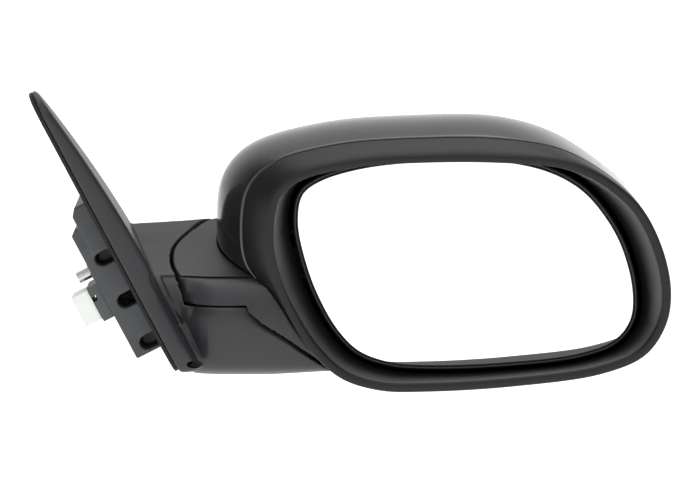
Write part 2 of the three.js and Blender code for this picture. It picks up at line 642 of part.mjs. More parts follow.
function addHeadFrame() {
  const sections = [ // x, then y from and to, then z from and to
    [50, -12, 12, -15.6, -9.7], [74, -6, 18, -15, -5], [84, 15, 24, -13, 1],
    [102, 24, 31, -12, 12], [126, 37, 40, -22, 28],
  ];
  const rectangle = ([x, y0, y1, z0, z1]) => [[x, y0, z0], [x, y1, z0], [x, y1, z1], [x, y0, z1]];
  const arm = loft(sections.map(rectangle));
  const hub = bar(17, -15.8, -9.6, 28).translate(POST.x, 0, 0);
  const panel = yPlate(123, 230, -34, 40, 12, 37, 40);
  const window = yPlate(160, 205, -18, 18, 8, 30, 45);
  const holes = DRIVE_SCREWS.map(([x, z]) => yBar(2.1, 30, 45, x, z, 16));
  const bore = bar(8.3, -40, 0, 32).translate(POST.x, 0, 0);
  const flangeSeat = bar(12.6, -9.5, 4, 28).translate(POST.x, 0, 0);
  const body = cut(join(arm, hub, panel), window, bore, flangeSeat, ...holes);
  add(pivotFrame, "head_frame", body, "bracket_grey");
  DRIVE_SCREWS.forEach(([x, z], i) => {
    const screw = join(yBar(3.8, 40.3, 42.3, x, z, 20), yBar(1.7, 26.5, 40.5, x, z, 12));
    add(pivotFrame, `actuator_screw_${i + 1}`, screw, "steel");
  });
}

function addDrive() {
  const [x0, x1, z0, z1] = [138, 226, -34, 41];
  const tilt = { x: BALL.x, z: BALL.z + TILT_ARM };
  const pan = { x: BALL.x + PAN_ARM, z: BALL.z };
  const corners = (low, high, radius) => DRIVE_SCREWS.map(([x, z]) => yBar(radius, low, high, x, z, 16));
  const inside = (low, high) => yPlate(x0 + 2, x1 - 2, z0 + 2, z1 - 2, 6, low, high);
  const front = cut(yPlate(x0, x1, z0, z1, 8, 13, 24), inside(15, 30));
  const passages = [yBar(4, 0, 20, tilt.x, tilt.z), yBar(4, 0, 20, pan.x, pan.z)];
  const frontBody = join(front, ...corners(14, 24, 4.5));
  add(pivotFrame, "actuator_case", cut(frontBody, ...passages, ...corners(18, 30, 2)), "inner_black");
  const back = cut(yPlate(x0, x1, z0, z1, 8, 24.3, 35.4), inside(20, 33.4));
  const backBody = join(back, ...corners(24.3, 34, 4.5));
  add(pivotFrame, "actuator_cover", cut(backBody, ...corners(20, 40, 2.1)), "inner_black");

  const post = join(
    new THREE.SphereGeometry(5.2, 14, 10).translate(BALL.x, BALL.y, BALL.z),
    yBar(3, BALL.y, 12, BALL.x, BALL.z),
    yBar(8, 11.2, 12.7, BALL.x, BALL.z),
  );
  add(pivotFrame, "ball_post", post, "white_nylon");

  for (const [name, at] of [["tilt", tilt], ["pan", pan]]) {
    const screw = join(
      new THREE.SphereGeometry(4.4, 12, 8).translate(at.x, BALL.y, at.z),
      yBar(3.1, BALL.y, 28.4, at.x, at.z, 16),
    );
    add(pivotFrame, `${name}_jackscrew`, screw, "white_nylon");
    add(pivotFrame, `${name}_gear`, gear(at.x, at.z), "white_nylon");
  }
  const offset = GEAR_R + WORM_R + GAP;
  const tiltWorm = worm(18).translate(tilt.x - offset, GEAR_Y, tilt.z - 9);
  add(pivotFrame, "tilt_worm", tiltWorm, "brass");
  const tiltMotor = bar(7.6, -10, 15.6, 20).translate(tilt.x - offset, GEAR_Y, 0);
  add(pivotFrame, "tilt_motor", tiltMotor, "steel");
  const panWorm = place(worm(16), [pan.x - 7, GEAR_Y, pan.z - offset], [0, Math.PI / 2, 0]);
  add(pivotFrame, "pan_worm", panWorm, "brass");
  const panMotor = place(bar(7.2, -24, 0, 20), [pan.x - 8.4, GEAR_Y, pan.z - offset], [0, Math.PI / 2, 0]);
  add(pivotFrame, "pan_motor", panMotor, "steel");
  add(pivotFrame, "actuator_plug", box(8.6, 12, 13, [133.3, 22, 0]), "inner_black");
}

// A spur gear about y, with its bore for the jackscrew.
function gear(x, z) {
  const teeth = 14;
  const outline = [];
  for (let k = 0; k < teeth; k += 1) {
    const tooth = [[-0.32, GEAR_R - 1], [-0.16, GEAR_R], [0.16, GEAR_R], [0.32, GEAR_R - 1]];
    for (const [part, radius] of tooth) {
      const angle = ((k + part) / teeth) * 2 * Math.PI;
      outline.push([radius * Math.cos(angle), radius * Math.sin(angle)]);
    }
  }
  const wheel = place(plate(outline, 5), [x, GEAR_Y + 2.5, z], [Math.PI / 2, 0, 0]);
  return cut(wheel, yBar(3.5, 0, 40, x, z, 16));
}

// A worm along z, from z = 0, drawn as a row of rounded threads.
function worm(length) {
  const profile = [[0, 0]];
  const pitch = 3;
  for (let z = 0; z < length; z += pitch) profile.push([WORM_R - 1, z], [WORM_R, z + 1], [WORM_R, z + 2]);
  profile.push([WORM_R - 1, length], [0, length]);
  return turned(profile, 8);
}

function addGlassMount() {
  const tiltAt = [BALL.x, BALL.z + TILT_ARM];
  const panAt = [BALL.x + PAN_ARM, BALL.z];
  const hoop = place(ring(6, 8.6, -2, 2, 24), [BALL.x, BALL.y, BALL.z], [Math.PI / 2, 0, 0]);
  const pins = [-1, 1].map((side) =>
    place(bar(1.3, 0, 3.2, 10), [BALL.x + side * 8.3, BALL.y, BALL.z], [0, (side * Math.PI) / 2, 0]),
  );
  add(pivotFrame, "gimbal_ring", join(hoop, ...pins), "white_nylon");

  const disc = yBar(43, 0.2, 2.6, BALL.x + 4, BALL.z + 4, 28);
  const collars = [tiltAt, panAt].map(([x, z]) => yBar(7, 2, 6, x, z, 16));
  const hubWall = yBar(15, 2, 8.6, BALL.x, BALL.z, 20);
  const sockets = [tiltAt, panAt].map(([x, z]) => yBar(5.5, -1, 12, x, z, 16));
  const eye = yBar(10, -2, 12, BALL.x, BALL.z, 28);
  const pinHole = place(bar(1.6, -13, 13, 10), [BALL.x, BALL.y, BALL.z], [0, Math.PI / 2, 0]);
  const body = cut(join(disc, ...collars, hubWall), eye, ...sockets, pinHole);
  add(pivotFrame, "actuator_plate", body, "inner_black");
}

addHeadShell();
addBaseCover();
addBracket();
addDoorSide();
addConnector();
addGlass();
addFoldJoint();
addHarness();
addHeadFrame();
addDrive();
addGlassMount();

export default mirror;
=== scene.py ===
"""The looks of a car side mirror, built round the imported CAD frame.

The large mouldings are rebuilt here at a fine resolution from the same outlines as the CAD, in
millimetres, and replace their faceted solids. Everything inside keeps its CAD solid and gets a
material. Coordinates: +X outboard from the door, +Y towards the front of the car, +Z up.
"""
import json
import math

import bmesh
import bpy
import numpy as np
from mathutils import Matrix, Vector


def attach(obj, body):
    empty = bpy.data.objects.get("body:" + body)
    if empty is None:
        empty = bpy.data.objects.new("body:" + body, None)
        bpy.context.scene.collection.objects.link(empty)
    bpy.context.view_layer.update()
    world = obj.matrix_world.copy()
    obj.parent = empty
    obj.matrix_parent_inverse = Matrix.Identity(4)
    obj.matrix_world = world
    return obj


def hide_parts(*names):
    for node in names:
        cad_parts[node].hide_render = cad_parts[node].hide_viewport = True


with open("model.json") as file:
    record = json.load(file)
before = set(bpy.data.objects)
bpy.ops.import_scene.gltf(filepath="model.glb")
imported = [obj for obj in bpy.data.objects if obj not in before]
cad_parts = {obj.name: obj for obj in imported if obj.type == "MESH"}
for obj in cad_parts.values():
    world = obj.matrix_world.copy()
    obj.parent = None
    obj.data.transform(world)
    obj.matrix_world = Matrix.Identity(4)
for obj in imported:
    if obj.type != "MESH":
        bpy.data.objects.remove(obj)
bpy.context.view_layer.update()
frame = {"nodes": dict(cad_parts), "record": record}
MM = 0.001

# ---------------------------------------------------------------- driving dimensions, in millimetres
GAP = 0.35  # between mouldings that meet
SEAM_GAP = 0.9  # between bezel and cap
WALL = 2.5
LEAN = math.radians(27.3)  # of the door's seat
SAIL_TOP = 97
SAIL_THIN = 5
SAIL_THICK = 14
SAIL_TAPER = 0.1  # thinner towards the front, per mm
SAIL_WAIST = 2.6  # thinner again beside the arm
COVER_W = 2
POST = (56, 34, -6)  # the fold post
NECK_R = 28.5
FOLD_GAP = 1.6
CREST_Y = -30
SEAM_Y = -18
BODY_Y = 10
DOME_Y = 55
GLASS_Y = -6
GLASS_T = 2
GLASS_BULGE = 1.1  # the glass is slightly convex
DOME_CENTRE = (170, 6)
CARRIER_RIM = 2
APERTURE_RIM = 4.2
APERTURE_WALL = 1.4
SLANT = 0.7  # share of a shift in both r and z that moves a 45 degree wall by the full distance
NECK_FROM, NECK_TO = -69, 62  # the neck leaves the post between these directions
ARM_FROM, ARM_TO = -130, 108  # the arm stays outside these
FAR_FROM = -112  # far from the post the neck is narrow and turns less far back
FAR_R = 38
NOTCH_TOP = 20.5

OUTLINE_STEPS = 252
ARM_STEPS = 120
ROUND = 144
TURN_STEPS = 43
RELAX = 8  # smoothing passes over a dense outline

# Head outlines, matching points clockwise from the inboard side as seen from the rear: x, z.
CREST = [
    (76.4, 20), (80.5, 41), (92, 51), (119.6, 58.4), (160, 61.2), (197.6, 61), (228.8, 58.4),
    (249.6, 50.2), (268, 35), (279.5, 14), (284.8, -10), (282.5, -28), (272, -44), (250, -53.8),
    (205, -60.2), (160, -63), (135, -62.5), (115, -56.5), (100, -43), (88, -24), (79, 0),
]
BODY = [
    (50, 22), (53.5, 45), (67, 60), (105, 71.5), (155, 75.5), (195, 75), (222, 68),
    (243, 56), (264, 38), (278, 15), (285, -10), (282, -28), (271, -43), (248, -53),
    (203, -62), (158, -65), (131, -63), (111, -50.5), (96, -33), (80, -13), (53, 3),
]
GLASS = [
    (92, 22), (94.5, 36.5), (103, 43.5), (125, 50.5), (160, 54.3), (195, 54.5), (222, 49),
    (240, 39), (253, 24), (261.5, 8), (267, -14), (266, -29.5), (258, -40.5), (240, -47.8),
    (200, -52.8), (160, -54.2), (140, -52.5), (124, -46.5), (113, -35.5), (103, -18), (96, 1),
]
# The surface that the head turns on: radius from the post and height.
TURN = [
    (NECK_R, -18), (29.6, -21.4), (31.5, -24.2), (34, -27.8), (38, -32.4), (41, -36.4), (44.6, -41.5),
    (52, -49.8), (60, -58.5), (70, -69),
]
# Sections of the arm and the neck across x: y, z.
ARM_SECTION = [
    (28, 18.5), (33, 13), (36, -4), (35, -27), (28, -48), (12, -56.5), (-6, -57.5), (-17, -52),
    (-22, -36), (-21.5, -18), (-16, -5.5), (-8, -0.5), (4, 6.2), (14, 10.6), (22, 14.6),
]
POD_SECTION = [
    (28, 19), (34, 13), (37, -4), (36, -27), (28, -48), (12, -57), (-8, -58), (-21, -52),
    (-27.5, -38), (-28, -21), (-23, -8), (-12, -1.5), (3, 6.2), (14, 11), (22, 15.4),
]
TAIL_SECTION = [
    (20, 12), (25, 8), (28, -4), (27, -25), (21, -46), (8, -55), (-6, -56.5), (-15, -53),
    (-19, -42), (-20, -26), (-17, -12), (-9, -5), (2, 1), (10, 5), (15, 9),
]
TOP_SLOPE = 0.059  # the arm's top falls towards the door
# Where along x each section holds; between them they blend.
STATIONS = [
    (-40, ARM_SECTION), (30, ARM_SECTION), (52, POD_SECTION), (74, POD_SECTION), (116, TAIL_SECTION),
]
# The sail's outline on the seat: v forward, z up the seat.
SAIL = [
    (-3, 70), (-3, 30), (-3, -20), (-3, -55), (0, -64), (10, -66.5), (50, -66), (95, -63.5), (112, -60),
    (115, -52), (108, -38), (82, 7), (52, 54), (26, 88.5), (12, 97), (2, 95), (-2.5, 86.5),
]


# ---------------------------------------------------------------- outlines
def smooth_loop(points, steps):
    """A closed centripetal curve through the points, with equal steps between them, then relaxed."""
    points = np.array(points, float)
    count = len(points)
    out = []
    for i in range(steps):
        at = count * i / steps
        k = int(at)
        w = at - k
        p0, p1, p2, p3 = (points[(k + j) % count] for j in (-1, 0, 1, 2))
        d0, d1, d2 = (np.linalg.norm(b - a) ** 0.5 for a, b in ((p0, p1), (p1, p2), (p2, p3)))
        t1 = ((p1 - p0) / d0 - (p2 - p0) / (d0 + d1) + (p2 - p1) / d1) * d1
        t2 = ((p2 - p1) / d1 - (p3 - p1) / (d1 + d2) + (p3 - p2) / d2) * d1
        out.append(p1 + t1 * w + (3 * (p2 - p1) - 2 * t1 - t2) * w**2 + (2 * (p1 - p2) + t1 + t2) * w**3)
    return relax(np.array(out))


def relax(loop, passes=RELAX):
    """Evens out the curvature of a dense loop without shrinking it."""
    for _ in range(passes):
        for share in (0.5, -0.52):
            loop = loop + share * ((np.roll(loop, 1, 0) + np.roll(loop, -1, 0)) / 2 - loop)
    return loop


def grow(loop, distance):
    """Moves a loop outwards by a distance, or inwards if it is negative."""
    before, after = np.roll(loop, 1, 0), np.roll(loop, -1, 0)
    area = np.sum(loop[:, 0] * after[:, 1] - after[:, 0] * loop[:, 1])
    along = after - before
    along /= np.linalg.norm(along, axis=1)[:, None]
    return loop + math.copysign(distance, area * distance) * np.stack([along[:, 1], -along[:, 0]], 1)


def at_y(loop, y):
    """An x, z loop in the post's frame as points of the part."""
    return np.stack([loop[:, 0], np.full(len(loop), y + POST[1]), loop[:, 1] + POST[2]], 1)


crest_loop = smooth_loop(CREST, OUTLINE_STEPS)
body_loop = smooth_loop(BODY, OUTLINE_STEPS)
glass_loop = smooth_loop(GLASS, OUTLINE_STEPS)
sail_loop = smooth_loop(SAIL, OUTLINE_STEPS)


def head_loop(y, inset=0.0):
    """The head's outer outline at depth y. The dome closes as a superellipse."""
    reach = min(max((y - CREST_Y) / (BODY_Y - CREST_Y), 0), 1)
    loop = crest_loop + (body_loop - crest_loop) * (1 - (1 - reach) ** 2)
    front = min(max(0, (y - BODY_Y) / (DOME_Y - inset - BODY_Y)), 1)
    scale = max(0.004, (1 - front**2.3) ** (1 / 2.3))
    centre = np.array(DOME_CENTRE, float)
    return centre + (grow(loop, -inset) - centre) * scale


def head_rings(inset, rear, steps):
    """Rings over the dome, closer together towards its front."""
    rings = []
    for k in range(steps + 1):
        y = rear + (DOME_Y - inset - rear) * math.sin((k / steps) * math.pi / 2)
        rings.append(at_y(head_loop(y, inset), y))
    return rings


# ---------------------------------------------------------------- meshes
# The faces of a box whose corners run over x, then y, then z.
BOX_FACES = [(0, 1, 3, 2), (4, 6, 7, 5), (0, 4, 5, 1), (2, 3, 7, 6), (0, 2, 6, 4), (1, 5, 7, 3)]


def new_piece(name, vertices, faces):
    mesh = bpy.data.meshes.new(name)
    mesh.from_pydata([tuple(float(c) * MM for c in v) for v in vertices], [], faces)
    piece = bpy.data.objects.new(name, mesh)
    bpy.context.scene.collection.objects.link(piece)
    face_outwards(mesh)
    return piece


def face_outwards(mesh):
    bm = bmesh.new()
    bm.from_mesh(mesh)
    bmesh.ops.recalc_face_normals(bm, faces=bm.faces)
    if bm.calc_volume(signed=True) < 0:
        bmesh.ops.reverse_faces(bm, faces=bm.faces)
    bm.to_mesh(mesh)
    bm.free()


def band(faces, low, high, count):
    for i in range(count):
        j = (i + 1) % count
        faces.append((low + i, low + j, high + j, high + i))


def loft(name, rings):
    """A closed body through rings of equally many points, with a fan at each end."""
    count = len(rings[0])
    vertices = [p for ring in rings for p in ring]
    faces = []
    for k in range(len(rings) - 1):
        band(faces, k * count, (k + 1) * count, count)
    for k in (0, len(rings) - 1):
        vertices.append(np.mean(rings[k], axis=0))
        tip = len(vertices) - 1
        faces += [(k * count + i, k * count + (i + 1) % count, tip) for i in range(count)]
    return new_piece(name, vertices, faces)


def frame_loop(name, rings):
    """A closed frame: rings of equally many points, the last joined back to the first."""
    count = len(rings[0])
    faces = []
    for k in range(len(rings)):
        band(faces, k * count, ((k + 1) % len(rings)) * count, count)
    return new_piece(name, [p for ring in rings for p in ring], faces)


def turned(name, profile, centre, sides=ROUND):
    """A profile of radius, z points about an upright axis, closed at both ends on the axis."""
    angles = np.linspace(0, 2 * math.pi, sides, endpoint=False)
    rings = []
    for r, z in profile:
        x = centre[0] + r * np.cos(angles)
        y = centre[1] + r * np.sin(angles)
        rings.append(np.stack([x, y, np.full(sides, centre[2] + z)], 1))
    return loft(name, rings)


def box_piece(name, low, high):
    corners = [(x, y, z) for x in (low[0], high[0]) for y in (low[1], high[1]) for z in (low[2], high[2])]
    return new_piece(name, corners, BOX_FACES)


def sector(name, start, end, low, high, reach=120):
    """A wedge of space about the post between two directions in degrees."""
    angles = np.radians(np.linspace(start, end, 48))
    flat = [(0.0, 0.0)] + [(reach * math.cos(a), reach * math.sin(a)) for a in angles]
    rings = [
        np.array([(POST[0] + x, POST[1] + y, POST[2] + z) for x, y in flat])
        for z in (low, high)
    ]
    count = len(flat)
    faces = []
    band(faces, 0, count, count)
    faces += [tuple(range(count)), tuple(range(count, 2 * count))]
    return new_piece(name, [p for ring in rings for p in ring], faces)


def apply_modifiers(piece):
    """Replaces the piece's mesh by what its modifiers make of it."""
    evaluated = piece.evaluated_get(bpy.context.evaluated_depsgraph_get())
    mesh = bpy.data.meshes.new_from_object(evaluated)
    old = piece.data
    piece.modifiers.clear()
    piece.data = mesh
    bpy.data.meshes.remove(old)


def combine(piece, other, operation):
    """Cuts, joins or intersects piece with other, by DIFFERENCE, UNION or INTERSECT, and drops other."""
    modifier = piece.modifiers.new(operation, "BOOLEAN")
    modifier.operation = operation
    modifier.solver = "MANIFOLD"
    modifier.object = other
    apply_modifiers(piece)
    drop(other)
    return piece


def drop(piece):
    mesh = piece.data
    bpy.data.objects.remove(piece)
    bpy.data.meshes.remove(mesh)


def remesh(piece, voxel, passes, share=1.0):
    """Makes a rough union one even surface with small fillets, then keeps a share of its faces."""
    modifier = piece.modifiers.new("voxels", "REMESH")
    modifier.mode = "VOXEL"
    modifier.voxel_size = voxel * MM
    smooth = piece.modifiers.new("fillets", "SMOOTH")
    smooth.factor = 0.5
    smooth.iterations = passes
    if share < 1:
        thin = piece.modifiers.new("thin", "DECIMATE")
        thin.ratio = share
    apply_modifiers(piece)
    return piece


def subdivide(piece, levels):
    modifier = piece.modifiers.new("subdivision", "SUBSURF")
    modifier.levels = levels
    modifier.render_levels = levels
    apply_modifiers(piece)
    return piece


def shade(piece, crease=32):
    """Smooth shading, with edges sharper than crease degrees kept sharp."""
    mesh = piece.data
    mesh.shade_smooth()
    mesh.set_sharp_from_angle(angle=math.radians(crease))
    return piece


def finished(piece, body, material, slot, *nodes):
    """Gives a piece its material, its body and the CAD nodes that it stands for."""
    piece.data.materials.clear()
    piece.data.materials.append(material)
    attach(piece, body)
    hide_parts(*nodes)
    return piece


# ---------------------------------------------------------------- forms shared by pieces
def blend_sections(x):
    """The arm's section at x, between the stations on either side."""
    xs = [station[0] for station in STATIONS]
    k = max(0, next(i for i, sx in enumerate(xs) if sx >= x) - 1)
    share = (x - xs[k]) / (xs[k + 1] - xs[k])
    share = share * share * (3 - 2 * share)
    a, b = np.array(STATIONS[k][1], float), np.array(STATIONS[k + 1][1], float)
    section = a + (b - a) * share
    section[:, 1] -= TOP_SLOPE * max(0, 52 - x) * np.clip(section[:, 1] / 12, 0, 1)
    return section


def arm_form(name, low, high, inset=0.0):
    """The common outer form of arm and neck from x = low to x = high. The inset may depend on x."""
    rings = []
    for x in np.linspace(low, high, max(2, int((high - low) / 4))):
        loop = grow(smooth_loop(blend_sections(x), ARM_STEPS), -(inset(x) if callable(inset) else inset))
        rings.append(np.stack([np.full(len(loop), x), loop[:, 0] + POST[1], loop[:, 1] + POST[2]], 1))
    return loft(name, rings)


def turn_curve():
    """The turning surface's wall, with more points added along its straight runs."""
    points = np.array(TURN, float)
    t = np.arange(len(points))
    fine = np.linspace(0, len(points) - 1, TURN_STEPS)
    return [(float(np.interp(f, t, points[:, 0])), float(np.interp(f, t, points[:, 1]))) for f in fine]


def space_above(name, raise_by):
    """The space above the turning surface, moved up and out by raise_by."""
    shift = raise_by * SLANT
    wall = [(r + shift, z + shift) for r, z in turn_curve()]
    rim = (95, wall[-1][1])
    profile = [(0.01, 90), (95, 90), rim, *reversed(wall), (0.01, TURN[0][1] + shift)]
    return turned(name, profile, POST)


def post_bar(name, radius, low, high):
    return turned(name, [(0.01, low), (radius, low), (radius, high), (0.01, high)], POST)


def neck_form(name, inset):
    throat = sector("throat", NECK_FROM + inset * 2, NECK_TO - inset * 2, -95, 95)
    combine(throat, post_bar("neck_end", NECK_R - inset, TURN[0][1], 60), "UNION")
    form = arm_form(name, 26, 112, inset)
    combine(form, space_above("above", inset), "INTERSECT")
    return combine(form, throat, "INTERSECT")


def neck_sweep(name, clear):
    """The space that the neck turns in, moved out by clear."""
    turn = 1.5 * (clear - FOLD_GAP)  # degrees
    throat = sector("throat", ARM_FROM - turn, ARM_TO + turn, -95, 95, FAR_R + clear)
    combine(throat, sector("far", FAR_FROM - turn, ARM_TO + turn, -95, 95), "UNION")
    combine(throat, post_bar("neck_end", NECK_R + clear, TURN[0][1] - clear * SLANT, 60), "UNION")
    return combine(space_above(name, -clear), throat, "INTERSECT")


def head_solid(name, inset, rear, steps):
    return loft(name, head_rings(inset, rear, steps))


def notch(name):
    swept = sector(name, NECK_TO, 178, -60, NOTCH_TOP, 70)
    return combine(swept, post_bar("neck_end", NECK_R, -70, 30), "DIFFERENCE")


def notch_liner(name):
    ceiling = sector(name, NECK_TO - 6, 150, NOTCH_TOP - 0.5, NOTCH_TOP + WALL, 66)
    side = sector("side", NECK_TO - 4, NECK_TO + 1, -30, NOTCH_TOP + WALL, 66)
    combine(side, post_bar("neck_end", 26, -40, 30), "DIFFERENCE")
    combine(ceiling, side, "UNION")
    return combine(ceiling, head_solid("head", 0.2, SEAM_Y + 20, 24), "INTERSECT")


def sail_thickness(v, z):
    """The sail thins to its apex, forwards above the arm's foot, and again beside the arm."""
    down = np.clip((SAIL_TOP - z) / 100, 0, 1)
    above = np.clip((z + 40) / 20, 0, 1)
    rear = SAIL_THIN + (SAIL_THICK - SAIL_THIN) * (1 - (1 - down) ** 1.7)
    return rear - SAIL_TAPER * np.maximum(0, v) * above - SAIL_WAIST * np.clip((-8 - z) / 20, 0, 1)


def sail_drop(w, z):
    """The sail's lower edge is level, so away from the seat it drops to meet the arm's underside."""
    low = np.clip((-25 - z) / 40, 0, 1)
    return w * math.tan(LEAN) * low * low * (3 - 2 * low)


def to_world(w, v, z):
    """Seat coordinates as a point of the part."""
    return (w * math.cos(LEAN) - z * math.sin(LEAN), v, w * math.sin(LEAN) + z * math.cos(LEAN))


def sail_form(name, inset, low, thinner, fill=10):
    """The sail as a body: its outline at the seat, rounded over at the rim, then domed to its middle."""
    middle = sail_loop.mean(axis=0)
    layers = [(0, 0), (0.25, 0.55), (1.0, 0.85), (2.4, 1)]
    rings = []
    for shrink, share in layers:
        loop = grow(sail_loop, -inset - shrink)
        height = sail_thickness(loop[:, 0], loop[:, 1]) - thinner
        w = np.maximum(low + share, share * height) if share else np.full(len(loop), float(low))
        z = loop[:, 1] - sail_drop(w, loop[:, 1])
        rings.append(np.array([to_world(*p) for p in zip(w, loop[:, 0], z)]))
    rim = grow(sail_loop, -inset - layers[-1][0])
    for k in range(1, fill):
        loop = middle + (rim - middle) * (1 - k / fill)
        w = np.maximum(low + 1, sail_thickness(loop[:, 0], loop[:, 1]) - thinner)
        z = loop[:, 1] - sail_drop(w, loop[:, 1])
        rings.append(np.array([to_world(*p) for p in zip(w, loop[:, 0], z)]))
    return loft(name, rings)


def outboard_of(name, w):
    """The half space outboard of w on the seat."""
    low = [to_world(w, v, z) for v in (-200, 200) for z in (-300, 300)]
    high = [to_world(w + 400, v, z) for v in (-200, 200) for z in (-300, 300)]
    return new_piece(name, low + high, BOX_FACES)


# ---------------------------------------------------------------- materials
def node_tree(name):
    material = bpy.data.materials.new(name)
    material.use_nodes = True
    tree = material.node_tree
    return material, tree, tree.nodes["Principled BSDF"]


def add_node(tree, kind, **settings):
    node = tree.nodes.new(kind)
    for key, value in settings.items():
        if key in node.inputs:
            node.inputs[key].default_value = value
        else:
            setattr(node, key, value)
    return node


def noise(tree, coordinates, scale, detail=3.0):
    node = add_node(tree, "ShaderNodeTexNoise", Scale=scale, Detail=detail)
    tree.links.new(coordinates, node.inputs["Vector"])
    return node.outputs["Fac"]


def map_range(tree, value, *limits):
    """Maps the first two limits onto the last two, and holds the ends."""
    node = tree.nodes.new("ShaderNodeMapRange")
    for socket, number in zip(("From Min", "From Max", "To Min", "To Max"), limits):
        node.inputs[socket].default_value = number
    tree.links.new(value, node.inputs["Value"])
    return node.outputs["Result"]


def spread(tree, value, low, high):
    """Maps a 0.3 to 0.7 noise onto low to high."""
    return map_range(tree, value, 0.3, 0.7, low, high)


def tint(tree, value, dark, light):
    ramp = tree.nodes.new("ShaderNodeValToRGB")
    ramp.color_ramp.elements[0].position = 0.3
    ramp.color_ramp.elements[1].position = 0.7
    ramp.color_ramp.elements[0].color = (*dark, 1)
    ramp.color_ramp.elements[1].color = (*light, 1)
    tree.links.new(value, ramp.inputs["Fac"])
    return ramp.outputs["Color"]


def moulded(name, colour, roughness, grain=0.0, grain_mm=0.5, shade_by=0.1, metallic=0.0, specular=0.5):
    """A moulded or metal surface: cloudy colour, uneven gloss, and a grain pressed into it."""
    material, tree, shader = node_tree(name)
    coordinates = add_node(tree, "ShaderNodeTexCoord").outputs["Object"]
    cloud = noise(tree, coordinates, 60, 4)
    dark = [c * (1 - shade_by) for c in colour]
    light = [c * (1 + shade_by) for c in colour]
    tree.links.new(tint(tree, cloud, dark, light), shader.inputs["Base Color"])
    fine = noise(tree, coordinates, 1 / (grain_mm * MM), 2)
    tree.links.new(spread(tree, fine, roughness - 0.05, roughness + 0.05), shader.inputs["Roughness"])
    shader.inputs["Metallic"].default_value = metallic
    shader.inputs["Specular IOR Level"].default_value = specular
    if grain:
        bump = add_node(tree, "ShaderNodeBump", Strength=grain, Distance=0.1 * MM)
        tree.links.new(fine, bump.inputs["Height"])
        tree.links.new(bump.outputs["Normal"], shader.inputs["Normal"])
    return material


def painted(name, colour, roughness):
    """A sprayed finish: a faint orange peel under a clear coat."""
    material = moulded(name, colour, roughness, grain=0.012, grain_mm=3, shade_by=0.06)
    shader = material.node_tree.nodes["Principled BSDF"]
    shader.inputs["Coat Weight"].default_value = 0.6
    shader.inputs["Coat Roughness"].default_value = 0.06
    return material


def silvered(name):
    material, tree, shader = node_tree(name)
    coordinates = add_node(tree, "ShaderNodeTexCoord").outputs["Object"]
    haze = noise(tree, coordinates, 25, 3)
    tree.links.new(tint(tree, haze, (0.93, 0.945, 0.955), (0.96, 0.965, 0.97)), shader.inputs["Base Color"])
    tree.links.new(spread(tree, haze, 0.015, 0.03), shader.inputs["Roughness"])
    shader.inputs["Metallic"].default_value = 1.0
    return material


MATERIALS = {
    "gloss_black": painted("cap_paint", (0.010, 0.0103, 0.0118), 0.22),
    "textured_black": moulded("grained_black", (0.018, 0.0186, 0.0208), 0.42, grain=0.3, grain_mm=0.45),
    "bracket_grey": moulded(
        "glass_filled_grey", (0.045, 0.048, 0.052), 0.46, grain=0.2, grain_mm=0.9, shade_by=0.18
    ),
    "rubber": moulded("gasket_rubber", (0.008, 0.008, 0.009), 0.8, grain=0.4, grain_mm=0.6),
    "steel": moulded("zinc_steel", (0.56, 0.57, 0.58), 0.3, grain=0.1, grain_mm=0.5, metallic=1.0),
    "brass": moulded("turned_brass", (0.62, 0.46, 0.19), 0.3, grain=0.1, grain_mm=0.4, metallic=1.0),
    "white_nylon": moulded(
        "off_white_nylon", (0.8, 0.82, 0.78), 0.48, grain=0.12, grain_mm=0.8, shade_by=0.05
    ),
    "grey_nylon": moulded("grey_nylon", (0.062, 0.07, 0.07), 0.45, grain=0.15, grain_mm=0.7),
    "cable_black": moulded("cable_sleeve", (0.012, 0.012, 0.013), 0.6, grain=0.3, grain_mm=0.7),
    "inner_black": moulded("plain_black", (0.012, 0.0125, 0.014), 0.45, grain=0.15, grain_mm=0.6),
    "mirror_glass": silvered("silvered_glass"),
}
# The bezel's black: a darker base colour and lower specular than the textured black. Part of this is the
# bezel's own smoother satin finish, and part is painted shade that darkens its sides.
SHADED_SATIN_BEZEL = moulded("shaded_satin_bezel_black", (0.009, 0.0092, 0.0102), 0.36, grain=0.12, grain_mm=0.5, specular=0.3)


def dress_cad_nodes():
    """Gives every CAD node the material of its slot in the record."""
    slots = {part["node"]: part["material_slot"] for part in frame["record"]["subparts"]}
    for name, node in frame["nodes"].items():
        node.data.materials.clear()
        node.data.materials.append(MATERIALS[slots[name]])


# ---------------------------------------------------------------- camera, lights and floor
def add_camera():
    """A long lens, straight behind the mirror and ten degrees above it."""
    centre = Vector((0.1196, 0.034, 0.0043))
    elevation = math.radians(10)
    distance = 2.022
    data = bpy.data.cameras.new("camera")
    data.lens = 200
    data.sensor_width = 36
    camera = bpy.data.objects.new("camera", data)
    bpy.context.scene.collection.objects.link(camera)
    camera.location = centre + distance * Vector((0, -math.cos(elevation), math.sin(elevation)))
    camera.rotation_euler = (math.radians(90) - elevation, 0, 0)
    bpy.context.scene.camera = camera


def add_light(name, place, towards, size, power):
    data = bpy.data.lights.new(name, "AREA")
    data.shape = "RECTANGLE"
    data.size, data.size_y = size
    data.energy = power
    light = bpy.data.objects.new(name, data)
    bpy.context.scene.collection.objects.link(light)
    light.location = place
    light.rotation_euler = (Vector(towards) - Vector(place)).to_track_quat("-Z", "Y").to_euler()


